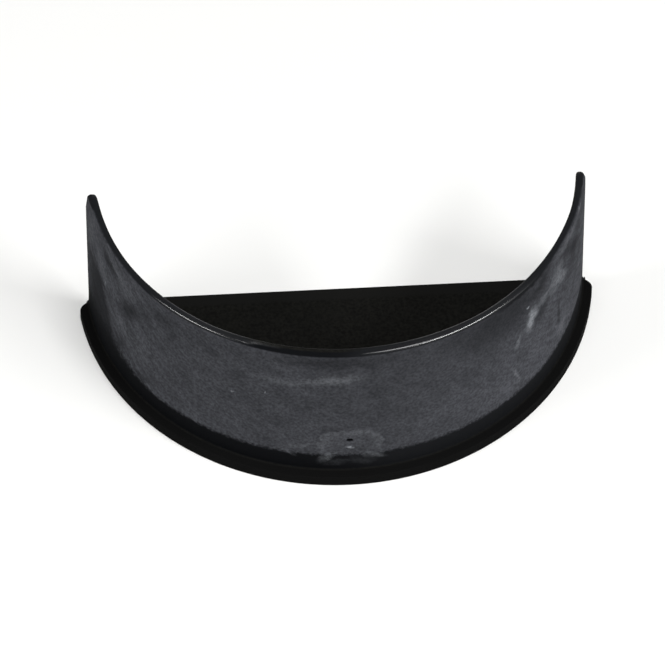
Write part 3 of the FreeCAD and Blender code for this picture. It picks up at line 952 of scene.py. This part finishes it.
# %% Mix the bare plastic
BLACK = "#0d0d0c"
DUST = "#171715"
WALL_BLACK = "#0d0e10"
DUSTY_WALL = "#161719"
DUSTY_FROM, DUSTY_TO = math.radians(-8), math.radians(12)
FLANGE_BLACK = "#0e0e0e"
EDGE_GREY = "#151514"
STRIP_WIDTH = 3.0
STRIP_SOFT = 0.6
from_edge = add_node(tree, MATH, MINUS, {0: STRAIGHT_EDGE / MM, 1: axes["Y"]}).outputs[0]
strip = add_node(tree, RANGE, SMOOTH, {
    "Value": from_edge, "From Min": STRIP_WIDTH + STRIP_SOFT, "From Max": STRIP_WIDTH - STRIP_SOFT,
}).outputs[0]
strip = add_node(tree, MATH, TIMES, {0: strip, 1: cloudy}).outputs[0]
dusty = add_node(tree, RANGE, {}, {"Value": grain, "From Min": GRAIN_LOW, "From Max": GRAIN_HIGH}).outputs[0]
dusty = add_node(tree, MATH, TIMES, {0: dusty, 1: cloudy}).outputs[0]
dusty_side = add_node(tree, RANGE, SMOOTH,
                      {"Value": bearing, "From Min": DUSTY_FROM, "From Max": DUSTY_TO}).outputs[0]
wall_black = add_node(tree, MIX, COLOURS, {
    "Factor": dusty_side, FIRST: linear(WALL_BLACK), SECOND: linear(DUSTY_WALL),
}).outputs[MIXED]
base = add_node(tree, MIX, COLOURS,
                {"Factor": dusty, FIRST: linear(BLACK), SECOND: linear(DUST)}).outputs[MIXED]
layers = ((strip, linear(EDGE_GREY)), (on_flange, linear(FLANGE_BLACK)), (outer_wall, wall_black))
for mask, colour in layers:
    base = add_node(tree, MIX, COLOURS, {"Factor": mask, FIRST: base, SECOND: colour}).outputs[MIXED]
print("bare plastic", BLACK, "on the plate,", WALL_BLACK, "on the wall")

# %% [markdown]
# Rubbed rim, the wall's grey and pale marks
# The rim is rubbed grey, except on the worn arc, where fresh black shows. Over it lies the wall's grey, a
# painted reflection of the white table with the real skin's mottling in it, and over that the pale marks.
# The grey's factor may pass one, so that its strongest places get lighter than its colour.

# %% Mix the grey over the plastic
RIM_GREY = "#191a1c"
# The wall's grey: a painted reflection of the white table, with the real skin's mottling brought in by its
# factor
REFLECTION_AND_SKIN_GREY = "#393a3e"
RUBBED = "#83868b"
rubbed_rim = add_node(tree, RANGE, SMOOTH,
                      {"Value": off_wear, "From Min": WEAR_INNER, "From Max": WEAR_OUTER}).outputs[0]
for part in (rim, grainy):
    rubbed_rim = add_node(tree, MATH, TIMES, {0: rubbed_rim, 1: part}).outputs[0]
base = add_node(tree, MIX, COLOURS,
                {"Factor": rubbed_rim, FIRST: base, SECOND: linear(RIM_GREY)}).outputs[MIXED]
base = add_node(tree, MIX, {"data_type": "RGBA", "clamp_factor": False},
                {"Factor": reflection_and_skin, FIRST: base, SECOND: linear(REFLECTION_AND_SKIN_GREY)}).outputs[MIXED]
base = add_node(tree, MIX, COLOURS,
                {"Factor": pale, FIRST: base, SECOND: linear(RUBBED)}).outputs[MIXED]
print("reflection_and_skin", REFLECTION_AND_SKIN_GREY, "pale marks", RUBBED)

# %% [markdown]
# Gloss
# Aged PVC has lost most of its gloss. Only the crest of the rim is burnished by handling, most on its
# outer half, and neither on the worn arc nor at the tips. The inside of the wall, which nothing rubs,
# keeps some of the mould's gloss. A second material could do it, but a clear coat whose weight is a mask
# gives both.

# %% Mask the gloss
CREST_FROM = CAP_HEIGHT / MM - 0.35
CREST_TO = CAP_HEIGHT / MM - 0.2
DULL_MIDDLE = math.radians(-6.5)
DULL_WITHIN, GLOSSY_BEYOND = math.radians(9), math.radians(24)
TIPS_FROM, TIPS_TO = math.radians(40), math.radians(50)
INNER_HALF = 0.3
HALF_FROM, HALF_TO = 52.2, 52.6
INNER_GLOSS = 0.3
INSIDE_FROM, INSIDE_TO = 52.3, 52.0
INSIDE_TOP = CAP_HEIGHT / MM - 0.8
INSIDE_FULL = CAP_HEIGHT / MM - 1.6
polish = add_node(tree, RANGE, {},
                  {"Value": axes["Z"], "From Min": CREST_FROM, "From Max": CREST_TO}).outputs[0]
off_front = add_node(tree, MATH, MINUS, {0: bearing, 1: DULL_MIDDLE}).outputs[0]
off_front = add_node(tree, MATH, ABSOLUTE, {0: off_front}).outputs[0]
unworn = add_node(tree, RANGE, {},
                  {"Value": off_front, "From Min": DULL_WITHIN, "From Max": GLOSSY_BEYOND}).outputs[0]
off_tips = add_node(tree, RANGE, {},
                    {"Value": turned, "From Min": TIPS_TO, "From Max": TIPS_FROM}).outputs[0]
outer_half = add_node(tree, RANGE, {}, {
    "Value": radius, "From Min": HALF_FROM, "From Max": HALF_TO, "To Min": INNER_HALF,
}).outputs[0]
for part in (unworn, off_tips, outer_half):
    polish = add_node(tree, MATH, TIMES, {0: polish, 1: part}).outputs[0]
inner_wall = add_node(tree, RANGE, {}, {
    "Value": radius, "From Min": INSIDE_FROM, "From Max": INSIDE_TO, "To Max": INNER_GLOSS,
}).outputs[0]
low_rim = add_node(tree, RANGE, {},
                   {"Value": axes["Z"], "From Min": INSIDE_TOP, "From Max": INSIDE_FULL}).outputs[0]
for part in (above, low_rim):
    inner_wall = add_node(tree, MATH, TIMES, {0: inner_wall, 1: part}).outputs[0]
polish = add_node(tree, MATH, {"operation": "MAXIMUM"}, {0: polish, 1: inner_wall}).outputs[0]
print("gloss on the crest 1.0, on the inside", INNER_GLOSS)

# %% [markdown]
# Roughness and relief
# Hard PVC has a refractive index of 1.53, and a fresh moulding would mirror like any clean plastic. Here the
# specular level is set low, and the wall's reflection of the white table is painted into its grey colour
# instead. The plate is half dull, with clouds in it, and the outside of the wall and the flange are
# weathered duller still. The grain is a shallow relief as well, so it breaks up the light as it does on the
# real wall.

# %% Finish the plastic
PVC_IOR = 1.53
# Set low, so that the wall's reflection of the table is painted into its colour instead
LOW_SPECULAR = 0.025
PLATE_ROUGH = (0.50, 0.60)
WALL_ROUGHER = 0.35
FLANGE_ROUGHER = 0.4
COAT_ROUGH = 0.18
COAT_IOR = 1.8
GRAIN_DEPTH = 0.02 * MM
GRAIN_STRENGTH = 0.5
rough = add_node(tree, RANGE, {}, {
    "Value": clouds, "From Min": NOISE_LOW, "From Max": NOISE_HIGH,
    "To Min": PLATE_ROUGH[0], "To Max": PLATE_ROUGH[1],
}).outputs[0]
rough = add_node(tree, MATH, TIMES_PLUS, {0: outer_wall, 1: WALL_ROUGHER, 2: rough}).outputs[0]
rough = add_node(tree, MATH, {"operation": "MULTIPLY_ADD", "use_clamp": True},
                 {0: on_flange, 1: FLANGE_ROUGHER, 2: rough}).outputs[0]
relief = add_node(tree, "ShaderNodeBump", {},
                  {"Strength": GRAIN_STRENGTH, "Distance": GRAIN_DEPTH, "Height": grain}).outputs[0]
shader = add_node(tree, "ShaderNodeBsdfPrincipled", {}, {
    "Base Color": base, "Roughness": rough, "IOR": PVC_IOR, "Specular IOR Level": LOW_SPECULAR,
    "Coat Weight": polish, "Coat Roughness": COAT_ROUGH, "Coat IOR": COAT_IOR, "Normal": relief,
})
add_node(tree, "ShaderNodeOutputMaterial", {}, {"Surface": shader.outputs[0]})
cap_data.materials.append(plastic)
print("plastic nodes:", len(tree.nodes))
